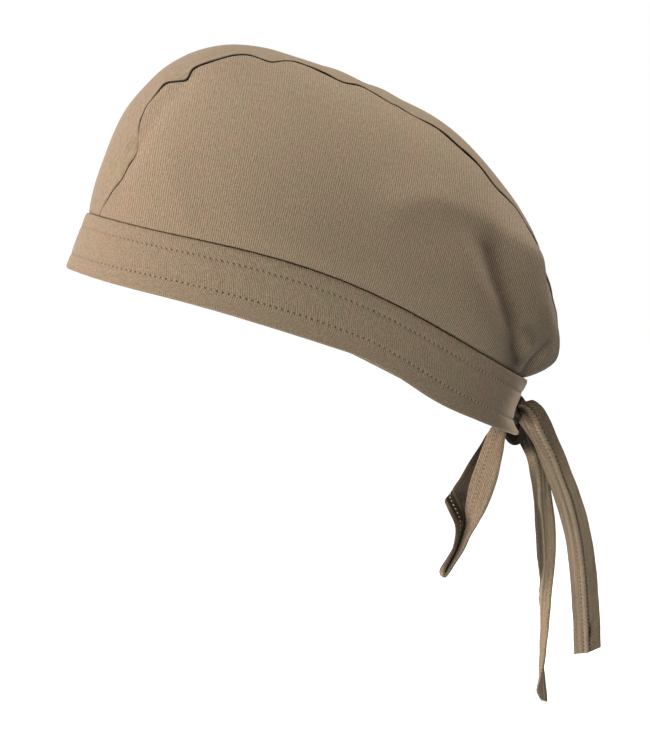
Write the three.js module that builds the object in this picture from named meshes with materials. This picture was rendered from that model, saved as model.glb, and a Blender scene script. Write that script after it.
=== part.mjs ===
// Chef cap: a soft cloth crown of three panels, sewn to a stitched band whose two ends are
// tied behind the head in a half bow.
//
// Millimetres. +Z is up as the cap is worn, the wearer faces -Y and +X is the wearer's left.
// The origin is the middle of the opening where the head goes in. The cap itself is drawn in
// a frame of its own (across, back, up) that leans forward-up by rimTilt, and the ties hang
// straight down in the world frame.
import * as THREE from "three";

// Band and opening
const rimTilt = THREE.MathUtils.degToRad(20.9); // front of the rim lifted, back lowered
const bandHalfLength = 103;
const bandHalfWidth = 80;
const bandHeight = 24.5;
const bandThickness = 2.2;
const earArch = 8.5; // how far the rim rises over each ear
const earFullness = 2; // extra band height over the ears
const backGapHalfAngle = THREE.MathUtils.degToRad(10); // the band stops short of the centre back
const endFlare = 4; // lower corners of the band ends pulled outward by the ties
const flareAngle = THREE.MathUtils.degToRad(24);

// Crown
const crownTop = 121.8;
const crownPeakBack = -25; // highest point lies in front of the middle
const crownThickness = 1.2;
const widestReach = 0.84; // share of the way from the peak to the band at which it is widest
const slumpScale = 3.08; // makes the greatest sinking of the shoulder equal to its slump
const seamGap = 0.3;

// Ties: folded tape
const tieThickness = 1.6;

// Facets
const bandColumns = 72;
const bandRows = 2;
const panelColumns = 44;
const sideRows = 12;
const stripRows = 6;
const tieStep = 3;

// Shape of the crown seen along three directions from its peak. over: bulge past the band,
// widestUp: height of the widest place, roundness: superellipse exponent, slump: flattening
// of the shoulder.
const crownSections = [
  { turn: 0, over: 1.9, widestUp: 50, roundness: 2.63, slump: 0.8 }, // front
  { turn: 90, over: 5, widestUp: 52, roundness: 2.3, slump: 1 }, // over the ears
  { turn: 180, over: 10.2, widestUp: 42, roundness: 2.33, slump: 10.2 }, // back
];

// Half width of the centre panel, as a share of the crown's flattened disc, front to back.
const seamLine = [
  { along: -1, half: 0.29 },
  { along: -0.8, half: 0.345 },
  { along: -0.6, half: 0.228 },
  { along: -0.38, half: 0.2 },
  { along: 0.1, half: 0.23 },
  { along: 0.55, half: 0.225 },
  { along: 1, half: 0.17 },
];

// Folds pressed into both sides of the crown, in the same disc: each runs from one end to the
// other, bowed sideways. A minus depth is a valley.
const crownFolds = [
  { name: "nape valley", from: [0.54, 0.3], to: [0.5, 0.88], bow: -0.09, width: 0.08, depth: -2.8 },
  { name: "nape puff", from: [0.42, 0.5], to: [0.34, 0.84], bow: -0.03, width: 0.12, depth: 1.6 },
  { name: "nape dimple", from: [0.4, 0.7], to: [0.36, 0.9], bow: 0, width: 0.04, depth: -2 },
  { name: "nape gather", from: [0.47, 0.8], to: [0.4, 0.95], bow: 0, width: 0.035, depth: 1.4 },
  { name: "crown dip", from: [0.1, -0.22], to: [0.3, -0.25], bow: 0, width: 0.06, depth: -1.4 },
  { name: "front tuck", from: [0.28, -0.5], to: [0.36, -0.72], bow: 0, width: 0.05, depth: -1.4 },
];

// The ties, in the world frame. Each tape runs through its stations; turned is how far its
// flat face is twisted away from facing (degrees), where 90 shows the edge alone, and width is
// across the tape. crease is the height of the lengthwise crease down its middle.
const sideways = new THREE.Vector3(1, 0, 0);
const backwards = new THREE.Vector3(0, 1, 0);
const knot = { centre: [0, 101, -33], half: [6.4, 4.5, 9.3] };
const tapes = [
  {
    name: "tie_left",
    facing: backwards,
    crease: 0,
    stations: [
      { x: 13.1, y: 98.6, z: -28.9, turned: 0, width: 12 },
      { x: 11.3, y: 98.7, z: -28.9, turned: 0, width: 12 },
      { x: 9.2, y: 99.6, z: -29.6, turned: 0, width: 12 },
      { x: 7.2, y: 100.5, z: -30.8, turned: 0, width: 12 },
    ],
  },
  {
    name: "tie_right",
    facing: backwards,
    crease: 0,
    stations: [
      { x: -13.1, y: 98.6, z: -28.9, turned: 0, width: 12 },
      { x: -11.3, y: 98.7, z: -28.9, turned: 0, width: 12 },
      { x: -9.2, y: 99.6, z: -29.6, turned: 0, width: 12 },
      { x: -7.2, y: 100.5, z: -30.8, turned: 0, width: 12 },
    ],
  },
  {
    name: "tie_tail_outer",
    facing: sideways,
    crease: 1.1,
    stations: [
      { x: 7.5, y: 101.9, z: -24.8, turned: 0, width: 6.5 },
      { x: 7.9, y: 105.4, z: -24.8, turned: 0, width: 6.5 },
      { x: 8.2, y: 109.4, z: -27.6, turned: 0, width: 7.5 },
      { x: 8.4, y: 112.3, z: -33.8, turned: 0, width: 10 },
      { x: 8.2, y: 114.6, z: -43, turned: 0, width: 12 },
      { x: 7.8, y: 118.2, z: -53.5, turned: 0, width: 12 },
      { x: 7.2, y: 124, z: -71, turned: 0, width: 12 },
      { x: 6.6, y: 129, z: -92, turned: 0, width: 12 },
      { x: 6.2, y: 131.6, z: -112, turned: 0, width: 12 },
      { x: 6, y: 133.2, z: -134, turned: 0, width: 12 },
    ],
  },
  {
    name: "tie_tail_inner",
    facing: sideways,
    crease: 1.1,
    stations: [
      { x: 0.6, y: 103.1, z: -42.2, turned: 62, width: 12 },
      { x: 1.4, y: 107, z: -50.5, turned: 52, width: 12 },
      { x: 2.4, y: 110.6, z: -60, turned: 46, width: 12 },
      { x: 3, y: 113.2, z: -72, turned: 44, width: 12 },
      { x: 3, y: 114.5, z: -88, turned: 50, width: 12 },
      { x: 3, y: 114.9, z: -104, turned: 62, width: 12 },
      { x: 3.2, y: 114.5, z: -121, turned: 74, width: 12 },
      { x: 3.4, y: 113.5, z: -138, turned: 84, width: 12 },
      { x: 3.4, y: 113.1, z: -148, turned: 76, width: 12 },
      { x: 3.4, y: 114, z: -156.5, turned: 66, width: 12 },
    ],
  },
  {
    name: "tie_loop",
    facing: sideways,
    crease: 0.3,
    stations: [
      { x: 0.8, y: 95.4, z: -38, turned: 66, width: 11 },
      { x: 2, y: 90, z: -46.5, turned: 58, width: 12 },
      { x: 3.2, y: 83.6, z: -55.5, turned: 44, width: 12 },
      { x: 4.2, y: 77.4, z: -63.5, turned: 32, width: 12 },
      { x: 4.8, y: 74.6, z: -70.5, turned: 42, width: 12 },
      { x: 5.6, y: 74, z: -78.5, turned: 68, width: 12 },
      { x: 6.2, y: 72.6, z: -86, turned: 82, width: 12 },
      { x: 6.8, y: 69.4, z: -92.4, turned: 88, width: 12 },
      { x: 7.1, y: 67.2, z: -96.2, turned: 90, width: 12 },
      { x: 7.3, y: 69.6, z: -99.6, turned: 90, width: 12 },
      { x: 7.5, y: 72.8, z: -96.8, turned: 90, width: 12 },
      { x: 7.6, y: 74.4, z: -93, turned: 92, width: 12 },
      { x: 8, y: 76.8, z: -86.6, turned: 100, width: 12 },
      { x: 8.8, y: 79.8, z: -78, turned: 116, width: 12 },
      { x: 9.6, y: 82.5, z: -68.5, turned: 128, width: 12 },
      { x: 9.4, y: 85.7, z: -57.5, turned: 126, width: 12 },
      { x: 8.2, y: 90, z: -47, turned: 122, width: 12 },
      { x: 4.6, y: 96.4, z: -38, turned: 116, width: 11 },
    ],
  },
];

// Value of one column between the rows of a table: a cubic through the rows, level at the ends.
function tableValue(rows, key, column, value) {
  const last = rows.length - 1;
  const held = THREE.MathUtils.clamp(value, rows[0][key], rows[last][key]);
  const index = Math.max(1, rows.findIndex((row) => row[key] >= held));
  const slopeAt = (row) => {
    if (row === 0 || row === last) return 0;
    const rise = rows[row + 1][column] - rows[row - 1][column];
    return rise / (rows[row + 1][key] - rows[row - 1][key]);
  };
  const [a, b] = [rows[index - 1], rows[index]];
  const span = b[key] - a[key];
  const t = (held - a[key]) / span;
  const [rise, drop] = [t * t * (3 - 2 * t), t * (1 - t)];
  const bend = drop * (1 - t) * slopeAt(index - 1) - drop * t * slopeAt(index);
  return a[column] * (1 - rise) + b[column] * rise + bend * span;
}

// turn is 0 at the front, a quarter turn at the wearer's left and half a turn at the back.
function rimUp(turn) {
  return earArch * Math.sin(turn) ** 4;
}

function bandTopUp(turn) {
  return bandHeight + rimUp(turn) + earFullness * Math.sin(turn) ** 2;
}

function bandPoint(turn, share, inset) {
  const fromBack = Math.PI - Math.abs(turn);
  const nearEnd = 1 - THREE.MathUtils.smoothstep(fromBack, backGapHalfAngle, flareAngle);
  const spread = endFlare * nearEnd * (1 - share) ** 2 - inset;
  const up = THREE.MathUtils.lerp(rimUp(turn), bandTopUp(turn), share);
  const across = (bandHalfWidth + spread) * Math.sin(turn);
  const back = -(bandHalfLength + spread) * Math.cos(turn);
  return new THREE.Vector3(across, back, up);
}

// Sum of the folds at one place of the disc, faded out where the crown meets the band.
function foldDepth(across, along) {
  const rim = 1 - Math.hypot(across, along);
  const fade = THREE.MathUtils.clamp(rim / 0.06, 0, 1);
  let depth = 0;
  for (const fold of crownFolds) {
    const reachX = fold.to[0] - fold.from[0];
    const reachY = fold.to[1] - fold.from[1];
    const length = Math.hypot(reachX, reachY);
    const x = Math.abs(across) - fold.from[0];
    const y = along - fold.from[1];
    const share = (x * reachX + y * reachY) / length ** 2;
    const held = THREE.MathUtils.clamp(share, 0, 1);
    const beyond = (share - held) * length;
    const bowed = 4 * fold.bow * held * (1 - held);
    const aside = (x * reachY - y * reachX) / length + bowed;
    const distance = Math.hypot(aside, beyond);
    depth += fold.depth * Math.exp(-((distance / fold.width) ** 2));
  }
  return depth * fade;
}

// The smooth crown, before its folds: disc position to cap frame.
function smoothCrown(across, along) {
  const reach = Math.hypot(across, along);
  const turn = Math.atan2(across, -along);
  const degrees = THREE.MathUtils.radToDeg(Math.abs(turn));
  const [over, widestUp, roundness, slump] = ["over", "widestUp", "roundness", "slump"].map(
    (column) => tableValue(crownSections, "turn", column, degrees),
  );
  const foot = new THREE.Vector2(
    (bandHalfWidth - bandThickness / 2) * Math.sin(turn),
    -(bandHalfLength - bandThickness / 2) * Math.cos(turn) - crownPeakBack,
  );
  const footRadius = foot.length();
  const direction = foot.divideScalar(footRadius);
  const widest = footRadius + bandThickness / 2 + over;
  let radius;
  let up;
  if (reach < widestReach) {
    const angle = ((reach / widestReach) * Math.PI) / 2;
    const [s, c] = [Math.sin(angle), Math.cos(angle)];
    const scale = (s ** roundness + c ** roundness) ** (1 / roundness);
    const sunk = slump * slumpScale * s ** 3 * c; // greatest on the shoulder, none at peak or side
    radius = (widest * s) / scale - sunk * s;
    up = widestUp + ((crownTop - widestUp) * c) / scale - sunk * c;
  } else {
    const share = (reach - widestReach) / (1 - widestReach);
    const seamUp = bandTopUp(turn) + seamGap;
    radius = widest - (widest - footRadius) * share ** 2;
    up = widestUp - (widestUp - seamUp) * share;
  }
  return new THREE.Vector3(direction.x * radius, crownPeakBack + direction.y * radius, up);
}

function crownPoint(across, along) {
  const step = 0.004;
  const smoothNormal = normalAt(smoothCrown, across, along, step);
  return smoothCrown(across, along).addScaledVector(smoothNormal, foldDepth(across, along));
}

// Outward normal of a surface given as a function of two disc coordinates.
function normalAt(surface, across, along, step) {
  const left = surface(across + step, along).sub(surface(across - step, along));
  const back = surface(across, along + step).sub(surface(across, along - step));
  return left.cross(back).normalize();
}

// Outer and inner face of the cloth at one place of the crown.
function crownFaces(across, along) {
  const outer = crownPoint(across, along);
  const inward = normalAt(crownPoint, across, along, 0.01).multiplyScalar(-crownThickness);
  return { outer, inner: outer.clone().add(inward) };
}

// A closed cloth wall from a grid of places, each with its outer and its inner face.
function clothWall(grid) {
  const rows = grid.length;
  const columns = grid[0].length;
  const places = grid.flat();
  const points = [...places.map((place) => place.outer), ...places.map((place) => place.inner)];
  const back = places.length;
  const at = (row, column) => row * columns + column;
  const triangles = [];
  const quad = (a, b, c, d) => triangles.push(a, b, c, a, c, d);
  for (let row = 0; row + 1 < rows; row += 1) {
    for (let column = 0; column + 1 < columns; column += 1) {
      const corners = [at(row, column), at(row + 1, column)];
      corners.push(at(row + 1, column + 1), at(row, column + 1));
      quad(...corners);
      quad(...corners.reverse().map((corner) => corner + back));
    }
    const [top, bottom] = [at(row, columns - 1), at(row + 1, columns - 1)];
    quad(at(row + 1, 0), at(row, 0), at(row, 0) + back, at(row + 1, 0) + back);
    quad(top, bottom, bottom + back, top + back);
  }
  for (let column = 0; column + 1 < columns; column += 1) {
    const [first, last] = [at(0, column), at(rows - 1, column)];
    quad(first, first + 1, first + 1 + back, first + back);
    quad(last + 1, last, last + back, last + 1 + back);
  }
  const geometry = new THREE.BufferGeometry().setFromPoints(points);
  geometry.setIndex(triangles);
  return geometry;
}

function gridOf(rows, columns, pointAt) {
  const share = (index, count) => index / (count - 1);
  return Array.from({ length: rows }, (_, row) =>
    Array.from({ length: columns }, (__, column) =>
      pointAt(share(row, rows), share(column, columns)),
    ),
  );
}

// Where the seam runs in the disc, moved aside by half the seam gap.
function seamAt(along, aside) {
  const half = tableValue(seamLine, "along", "half", along) + aside / bandHalfLength;
  return { across: half, along: along * Math.sqrt(1 - half * half) };
}

function centrePanel() {
  const grid = gridOf(panelColumns, stripRows + 1, (front, right) => {
    const seam = seamAt(2 * front - 1, -seamGap / 2);
    const across = seam.across * (1 - 2 * right);
    return crownFaces(across, (2 * front - 1) * Math.sqrt(1 - across * across));
  });
  return clothWall(grid);
}

// side is 1 for the wearer's left and -1 for the right. Rows run from the seam to the band.
function sidePanel(side) {
  const firstTurn = Math.asin(seamAt(-1, seamGap / 2).across);
  const lastTurn = Math.PI - Math.asin(seamAt(1, seamGap / 2).across);
  const cornerGap = 0.012;
  const grid = gridOf(panelColumns, sideRows + 1, (front, down) => {
    const kept = THREE.MathUtils.clamp(front, cornerGap, 1 - cornerGap);
    const seam = seamAt(2 * kept - 1, seamGap / 2);
    const turn = THREE.MathUtils.lerp(firstTurn, lastTurn, kept);
    const across = THREE.MathUtils.lerp(seam.across, Math.sin(turn), down);
    const along = THREE.MathUtils.lerp(seam.along, -Math.cos(turn), down);
    return crownFaces(side * across, along);
  });
  return clothWall(side < 0 ? grid : grid.reverse());
}

function band() {
  const lastTurn = Math.PI - backGapHalfAngle;
  const grid = gridOf(bandColumns + 1, bandRows + 1, (round, up) => {
    const turn = THREE.MathUtils.lerp(-lastTurn, lastTurn, round);
    return { outer: bandPoint(turn, up, 0), inner: bandPoint(turn, up, bandThickness) };
  });
  return clothWall(grid);
}

// A creased tape along its stations. The crease runs down the middle of the outer face.
function tape({ facing, crease, stations }) {
  const points = stations.map(({ x, y, z }) => new THREE.Vector3(x, y, z));
  const path = new THREE.CatmullRomCurve3(points, false, "centripetal");
  const rows = Math.max(3, Math.ceil(path.getLength() / tieStep));
  const grid = gridOf(rows, 3, (share, edge) => {
    // the same parameter on the path and on the stations, so that each turn keeps its place
    const place = share * (stations.length - 1);
    const from = Math.min(Math.floor(place), stations.length - 2);
    const between = (column) =>
      THREE.MathUtils.lerp(stations[from][column], stations[from + 1][column], place - from);
    const turned = THREE.MathUtils.degToRad(between("turned"));
    const onward = path.getTangent(share);
    const flat = facing.clone().cross(onward).normalize().multiplyScalar(Math.cos(turned));
    flat.addScaledVector(facing, -Math.sin(turned));
    flat.addScaledVector(onward, -flat.dot(onward)).normalize();
    const normal = onward.clone().cross(flat).normalize();
    const ridge = crease * (1 - Math.abs(2 * edge - 1));
    const middle = path.getPoint(share).addScaledVector(flat, between("width") * (edge - 0.5));
    const outer = middle.clone().addScaledVector(normal, ridge + tieThickness / 2);
    return { outer, inner: middle.addScaledVector(normal, ridge - tieThickness / 2) };
  });
  return clothWall(grid);
}

function knotLump() {
  const ball = new THREE.SphereGeometry(1, 16, 10);
  ball.scale(...knot.half);
  return ball.translate(...knot.centre);
}

const material = (color) => new THREE.MeshStandardMaterial({ color, roughness: 0.9, metalness: 0 });

function piece(name, geometry, color) {
  const mesh = new THREE.Mesh(geometry, material(color));
  mesh.name = name;
  return mesh;
}

const cap = new THREE.Group();
cap.rotation.x = -rimTilt;
cap.add(piece("centre_panel", centrePanel(), 0xa98d6f));
cap.add(piece("side_panel_left", sidePanel(1), 0x9d8265));
cap.add(piece("side_panel_right", sidePanel(-1), 0x9d8265));
cap.add(piece("band", band(), 0x957a5d));

const ties = new THREE.Group();
ties.add(piece("tie_knot", knotLump(), 0x6f5a45));
for (const one of tapes) ties.add(piece(one.name, tape(one), 0x8d7458));

const chefCap = new THREE.Group();
chefCap.add(cap, ties);

export default chefCap;
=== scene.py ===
# A cook's cap in cotton twill: three crown panels on a stitched band, tied behind in a half bow.
import math

import bmesh
import bpy
import numpy as np
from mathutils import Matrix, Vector, noise


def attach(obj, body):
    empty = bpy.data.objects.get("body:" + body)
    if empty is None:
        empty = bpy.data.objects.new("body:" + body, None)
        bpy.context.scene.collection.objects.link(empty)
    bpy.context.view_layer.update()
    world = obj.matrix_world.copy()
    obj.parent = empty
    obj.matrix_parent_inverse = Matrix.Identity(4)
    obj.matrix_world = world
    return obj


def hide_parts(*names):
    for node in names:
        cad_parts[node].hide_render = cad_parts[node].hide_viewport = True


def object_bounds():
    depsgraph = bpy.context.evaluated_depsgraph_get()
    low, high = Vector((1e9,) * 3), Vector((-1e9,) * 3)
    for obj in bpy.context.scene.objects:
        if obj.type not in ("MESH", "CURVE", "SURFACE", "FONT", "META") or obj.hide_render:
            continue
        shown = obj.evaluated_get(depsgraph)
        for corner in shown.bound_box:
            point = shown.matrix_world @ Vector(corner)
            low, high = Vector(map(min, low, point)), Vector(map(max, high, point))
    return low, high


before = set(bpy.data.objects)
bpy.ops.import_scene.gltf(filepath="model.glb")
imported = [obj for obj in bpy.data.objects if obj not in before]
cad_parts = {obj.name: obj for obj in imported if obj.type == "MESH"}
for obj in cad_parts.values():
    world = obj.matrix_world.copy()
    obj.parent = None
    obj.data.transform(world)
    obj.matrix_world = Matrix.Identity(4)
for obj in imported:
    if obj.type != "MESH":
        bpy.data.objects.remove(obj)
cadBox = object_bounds()
mm = 0.001  # the shapes are worked out in millimetres
addToScene = bpy.context.scene.collection.objects.link

# Shape of the cap, as in its solids. The cap leans back by rimTilt, the ties hang straight.
cap = {
    "rimTilt": math.radians(20.9),
    "bandHalfLength": 103.0,
    "bandHalfWidth": 80.0,
    "bandHeight": 24.5,
    "bandThickness": 2.2,
    "earArch": 8.5,
    "earFullness": 2.0,
    "backGapHalfAngle": math.radians(10),
    "endFlare": 4.0,
    "flareAngle": math.radians(24),
    "crownTop": 121.8,
    "crownPeakBack": -25.0,
    "widestReach": 0.84,
    "slumpScale": 3.08,
    "seamGap": 0.3,
    "easeStep": 0.05,  # the line where the dome meets the part below it is softened this far
    "easeWidth": 0.07,
}
crownSections = {  # front, over the ears, back
    "turn": [0, 90, 180],
    "over": [1.9, 5, 10.2],
    "widestUp": [50, 52, 42],
    "roundness": [2.63, 2.3, 2.33],
    "slump": [0.8, 1, 10.2],
}
crownFolds = [  # from, to, bow, width, depth; a minus depth is a valley
    ((0.54, 0.3), (0.5, 0.88), -0.09, 0.08, -2.8),  # nape valley
    ((0.42, 0.5), (0.34, 0.84), -0.03, 0.12, 1.6),  # nape puff
    ((0.4, 0.7), (0.36, 0.9), 0, 0.04, -2),  # nape dimple
    ((0.47, 0.8), (0.4, 0.95), 0, 0.035, 1.4),  # nape gather
    ((0.1, -0.22), (0.3, -0.25), 0, 0.06, -1.4),  # crown dip
    ((0.28, -0.5), (0.36, -0.72), 0, 0.05, -1.4),  # front tuck
]


def tableValue(table, key, column, value):  # a smooth curve through the rows of a table
    x = np.array(table[key], float)
    y = np.array(table[column], float)
    held = np.clip(value, x[0], x[-1])
    slope = np.zeros(len(x))
    slope[1:-1] = (y[2:] - y[:-2]) / (x[2:] - x[:-2])
    i = np.clip(np.searchsorted(x, held), 1, len(x) - 1)
    span = x[i] - x[i - 1]
    t = (held - x[i - 1]) / span
    rise = t * t * (3 - 2 * t)
    bend = t * (1 - t) * ((1 - t) * slope[i - 1] - t * slope[i])
    return y[i - 1] * (1 - rise) + y[i] * rise + bend * span


def smoothStep(value, low, high):
    t = np.clip((value - low) / (high - low), 0, 1)
    return t * t * (3 - 2 * t)


def bell(value, width, power=2):  # 1 at nought, falling off to each side
    return np.exp(-((value / width) ** power))


def rimUp(turn):  # turn is 0 at the front and a quarter turn at the wearer's left
    return cap["earArch"] * np.sin(turn) ** 4


def bandTopUp(turn):
    return cap["bandHeight"] + rimUp(turn) + cap["earFullness"] * np.sin(turn) ** 2


def foldDepth(across, along, folds):
    depth = 0
    for start, end, bow, width, deep in folds:
        reachX, reachY = end[0] - start[0], end[1] - start[1]
        length = math.hypot(reachX, reachY)
        x, y = np.abs(across) - start[0], along - start[1]
        share = (x * reachX + y * reachY) / length**2
        held = np.clip(share, 0, 1)
        aside = (x * reachY - y * reachX) / length + 4 * bow * held * (1 - held)
        beyond = (share - held) * length
        depth = depth + deep * np.exp(-(aside**2 + beyond**2) / width**2)
    return depth * np.clip((1 - np.hypot(across, along)) / 0.06, 0, 1)


def smoothCrown(across, along):  # place on a flattened disc to the cap's own frame
    reach = np.hypot(across, along)
    turn = np.arctan2(across, -along)
    degrees = np.degrees(np.abs(turn))
    over, widestUp, roundness, slump = [tableValue(crownSections, "turn", column, degrees)
                                        for column in ("over", "widestUp", "roundness", "slump")]
    inset = cap["bandThickness"] / 2
    footX = (cap["bandHalfWidth"] - inset) * np.sin(turn)
    footY = -(cap["bandHalfLength"] - inset) * np.cos(turn) - cap["crownPeakBack"]
    foot = np.hypot(footX, footY)
    widest = foot + inset + over
    angle = np.minimum(reach / cap["widestReach"], 1) * math.pi / 2
    s, c = np.sin(angle), np.maximum(np.cos(angle), 0)
    scale = (s**roundness + c**roundness) ** (1 / roundness)
    sunk = slump * cap["slumpScale"] * s**3 * c
    domeOut = widest * s / scale - sunk * s
    domeUp = widestUp + (cap["crownTop"] - widestUp) * c / scale - sunk * c
    share = (reach - cap["widestReach"]) / (1 - cap["widestReach"])
    skirtOut = widest - (widest - foot) * share**2
    skirtUp = widestUp - (widestUp - bandTopUp(turn) - cap["seamGap"]) * share
    onDome = reach < cap["widestReach"]
    out = np.where(onDome, domeOut, skirtOut)
    up = np.where(onDome, domeUp, skirtUp)
    back = cap["crownPeakBack"] + footY / foot * out
    return np.stack([footX / foot * out, back, up], -1)


def unit(vectors):
    return vectors / np.maximum(np.linalg.norm(vectors, axis=-1, keepdims=True), 1e-12)


def normalAt(surface, across, along, step):
    left = surface(across + step, along) - surface(across - step, along)
    back = surface(across, along + step) - surface(across, along - step)
    return unit(np.cross(left, back))


def easedCrown(across, along):
    reach = np.hypot(across, along)
    point = smoothCrown(across, along)
    longer = 1 + cap["easeStep"] / np.maximum(reach, 0.3)
    shorter = 2 - longer
    beyond = smoothCrown(across * longer, along * longer)
    within = smoothCrown(across * shorter, along * shorter)
    share = bell(reach - cap["widestReach"], cap["easeWidth"])
    return point + ((beyond + within) / 2 - point) * share[..., None]


def crownPoint(across, along):
    outward = normalAt(easedCrown, across, along, crown["foldStep"])
    depth = foldDepth(across, along, crownFolds)
    return easedCrown(across, along) + outward * depth[..., None]


def leaned(points):  # from the cap's own frame to the scene's
    c, s = math.cos(cap["rimTilt"]), math.sin(cap["rimTilt"])
    x, y, z = points[..., 0], points[..., 1], points[..., 2]
    return np.stack([x, y * c + z * s, z * c - y * s], -1)


def stepsAlong(grid, axis):  # length walked along the rows or columns
    steps = np.linalg.norm(np.diff(grid, axis=axis), axis=-1)
    pad = [(0, 0), (0, 0)]
    pad[axis] = (1, 0)
    return np.pad(np.cumsum(steps, axis=axis), pad)


def ripple(x, y, seed):  # smooth noise, about -1 to 1
    flat = [noise.noise((a, b, seed)) for a, b in zip(np.ravel(x), np.ravel(y))]
    return np.array(flat).reshape(np.shape(x)) * 1.6


def setFloats(mesh, name, values):
    layer = mesh.attributes.new(name, "FLOAT", "POINT")
    layer.data.foreach_set("value", np.ravel(values).astype(np.float32))


def ribsSeen(grid):  # the weave reads least at the very front and on top
    back, up = grid[..., 1], grid[..., 2]
    front = 0.2 + 0.8 * smoothStep(back, -84, -60)
    return front * (1 + 0.25 * smoothStep(back, 40, 75)) * (1 - 0.35 * smoothStep(up, 70, 108))


def makeCloth(name, grid, paintedShade, uv=None, closed=False):  # cloth from a grid of points
    rows, columns = grid.shape[:2]
    index = np.arange(rows * columns).reshape(rows, columns)
    if closed:  # the last row joins the first
        index = np.vstack([index, index[:1]])
    corners = [index[:-1, :-1], index[1:, :-1], index[1:, 1:], index[:-1, 1:]]
    faces = np.stack([c.ravel() for c in corners], -1)
    mesh = bpy.data.meshes.new(name)
    mesh.from_pydata((grid.reshape(-1, 3) * mm).tolist(), [], faces.tolist())
    layer = mesh.uv_layers.new(name="cloth")  # in metres
    if uv is not None:
        flat = uv.reshape(-1, 2)
        if closed:
            flat = np.vstack([flat, uv[:1].reshape(-1, 2) + (0, uv[-1, 0, 1] - uv[0, 0, 1])])
        layer.data.foreach_set("uv", (flat[faces.ravel()] * mm).ravel())
    # painted shade: darkens the cloth in seams, folds, hollows and shaded facets
    setFloats(mesh, "paintedShade", paintedShade)
    setFloats(mesh, "ribShow", ribsSeen(grid))
    mesh.polygons.foreach_set("use_smooth", np.ones(len(faces), bool))
    piece = bpy.data.objects.new(name, mesh)
    addToScene(piece)
    return piece


def stitchFloats(piece, shape, **values):  # where its stitch rows run and what shows of them
    for name, value in values.items():
        setFloats(piece.data, name, np.broadcast_to(value, shape))


def flatten(piece, rightward, upward, ownShare):
    # lays the cloth flat, so that the weave runs as in the cut panel
    bpy.context.view_layer.objects.active = piece
    piece.select_set(True)
    bpy.ops.object.mode_set(mode="EDIT")
    bpy.ops.mesh.select_all(action="SELECT")
    bpy.ops.uv.unwrap(method="CONFORMAL", margin=0)
    bpy.ops.object.mode_set(mode="OBJECT")
    piece.select_set(False)
    mesh = piece.data
    layer = mesh.uv_layers["cloth"]
    uv = np.empty(len(mesh.loops) * 2, np.float32)
    layer.data.foreach_get("uv", uv)
    uv = uv.reshape(-1, 2)
    vertices = np.empty(len(mesh.loops), np.int32)
    mesh.loops.foreach_get("vertex_index", vertices)
    places = np.empty(len(mesh.vertices) * 3, np.float32)
    mesh.vertices.foreach_get("co", places)
    places = places.reshape(-1, 3)[vertices]
    plane = np.stack([places @ rightward, places @ upward], -1)
    plane -= plane.mean(axis=0)
    uv = uv - uv.mean(axis=0)
    # turn and scale the flat pattern onto the view of the piece from its side
    flat = uv[:, 0] + 1j * uv[:, 1]
    seen = plane[:, 0] + 1j * plane[:, 1]
    if abs((np.conj(flat) * seen).sum()) < abs((flat * seen).sum()):
        flat = np.conj(flat)
    spin = (np.conj(flat) * seen).sum()
    flat = flat * spin / abs(spin)
    area = sum(face.area for face in mesh.polygons)
    corners = flat.reshape(-1, 4)
    crossed = (corners[:, 2] - corners[:, 0]) * np.conj(corners[:, 3] - corners[:, 1])
    flat = flat * math.sqrt(area / (np.abs(crossed.imag).sum() / 2))
    wide, high = np.ptp(flat.real), np.ptp(flat.imag)
    print(piece.name, "flat", wide.round(4), high.round(4), "area", round(area, 5))
    flat = seen + (flat - seen) * ownShare
    layer.data.foreach_set("uv", np.stack([flat.real, flat.imag], -1).astype(np.float32).ravel())


crown = {
    "columns": 330,
    "sideRows": 116,
    "stripRows": 60,
    "seamRoll": 0.3,  # how far from the seam the cloth starts to turn under
    "seamDepth": 0.5,
    "seamStand": 0.5,  # how far the middle strip's edge stands above the side
    "standReach": 2.4,
    "seamPucker": 0.45,
    "puckerReach": 7.0,
    "puckerLength": 9.0,
    "ownWave": 0.3,
    "sharedWave": 0.8,  # both cloths of a seam rise and fall together
    "waveWidth": 14.0,
    "waveBeat": 16.0,
    "bandRoll": 0.5,
    "bandTuck": 0.12,
    "drape": 0.35,  # slow unevenness of the cloth
    "drapeLength": 34.0,
    "drapeReach": 8.0,  # how far from the band the cloth starts to drape
    "sinkReach": 16.0,  # how far the sunk spine draws the sides down
    "foldReach": (6.0, 4.0),  # how near the seam and the band the soft folds fade
    "normalStep": 0.01,
    "foldStep": 0.03,
    "softFoldStep": 0.05,
    "farShift": 0.03,  # the far side is never quite the same
    "farFolds": 0.7,
    "sideEnds": (0.003, 0.988),  # the side panels stop just short of the seam's ends
    "sideSpread": 1.5,  # rows stand closer at the edges
    "stripSpread": 1.7,
    "sideShade": 1.3,  # painted shade of an open seam, on either cloth
    "stripShade": 1.15,
    "innerShade": 0.55,  # share of it at the very edge of the strip
    # painted shade where the strip's ends tuck behind the band, and darker toward the nape
    "endShade": 0.4,
    "rearShade": 0.12,
    "bandLine": (0.15, 0.45),  # painted shade of the line along the band in front, and what the sides add
    "bandLineWidth": 0.22,
    "ownPattern": 0.15,  # how much a side panel's weave follows its own cut
}
seamLeft = {  # half width of the middle strip on the flattened crown, front to back
    "along": [-1, -0.94, -0.88, -0.82, -0.76, -0.71, -0.67, -0.62, -0.54, -0.5, -0.475, -0.44,
              -0.38, -0.32, -0.27, -0.23, -0.2, -0.14, -0.09, -0.05, 0.015, 0.07, 0.17, 0.24,
              0.35, 0.45, 0.53, 0.62, 0.75, 1],
    "half": [0.27, 0.32, 0.357, 0.353, 0.343, 0.295, 0.255, 0.222, 0.2, 0.23, 0.248, 0.215,
             0.212, 0.195, 0.19, 0.225, 0.215, 0.203, 0.228, 0.25, 0.232, 0.26, 0.258, 0.258,
             0.25, 0.215, 0.19, 0.155, 0.14, 0.15],
}
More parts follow.
